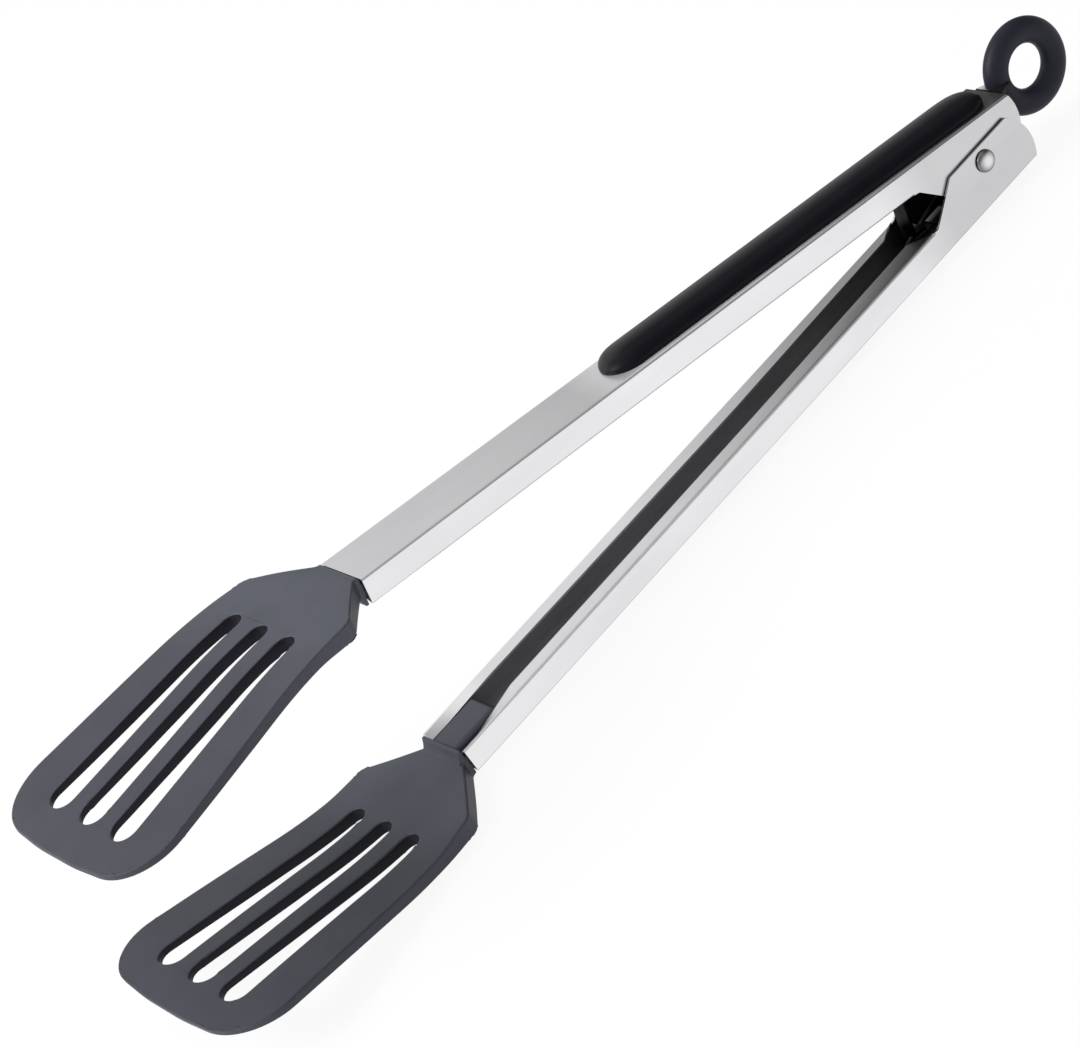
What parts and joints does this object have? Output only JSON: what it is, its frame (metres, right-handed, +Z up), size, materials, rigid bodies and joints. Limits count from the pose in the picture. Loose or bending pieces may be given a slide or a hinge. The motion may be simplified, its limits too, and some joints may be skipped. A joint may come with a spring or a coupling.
{
  "type": "serving tongs",
  "caption": "Serving tongs with channel-shaped steel arms, slotted plastic blades, soft grips and a pull-ring lock at the hinge.",
  "frame": {"origin": "on the surface that the tongs lie on, below the middle of their bounding box, with the lower arm lying on its back", "axes": "+X along the lower arm from the hinge to the blades, +Y across the arms along the rivet, +Z up from the lower arm to the upper arm"},
  "size_m": [0.3287, 0.062, 0.0664],
  "materials": {
    "arm_steel": "satin stainless steel, finely brushed along the arms",
    "rivet_steel": "polished stainless steel",
    "slide_steel": "plain bright steel",
    "spring_steel": "drawn spring wire",
    "blade_nylon": "dark grey nylon, fine matte texture",
    "grip_soft": "black soft plastic with a low sheen",
    "ring_soft": "black soft plastic with a low sheen"
  },
  "bodies": {
    "lower": {"lower_arm": "arm_steel", "lower_grip": "grip_soft", "lower_blade": "blade_nylon", "opening_spring": "spring_steel"},
    "upper": {"upper_arm": "arm_steel", "upper_grip": "grip_soft", "upper_blade": "blade_nylon", "pivot_rivet": "rivet_steel"},
    "lock": {"lock_slide": "slide_steel", "pull_ring": "ring_soft"}
  },
  "joints": [
    {"name": "arm_hinge", "type": "hinge", "parent": "lower", "child": "upper", "pos_m": [-0.12265, 0, 0.01358], "axis": [0, 1, 0], "range_deg": [0, 9], "stiffness_Nm_per_rad": 0.8, "springref_deg": -14.32, "deforming": ["opening_spring"]},
    {"name": "lock_pull", "type": "slide", "parent": "upper", "child": "lock", "axis": [-0.9822, 0, -0.1877], "range_m": [0, 0.005]}
  ]
}
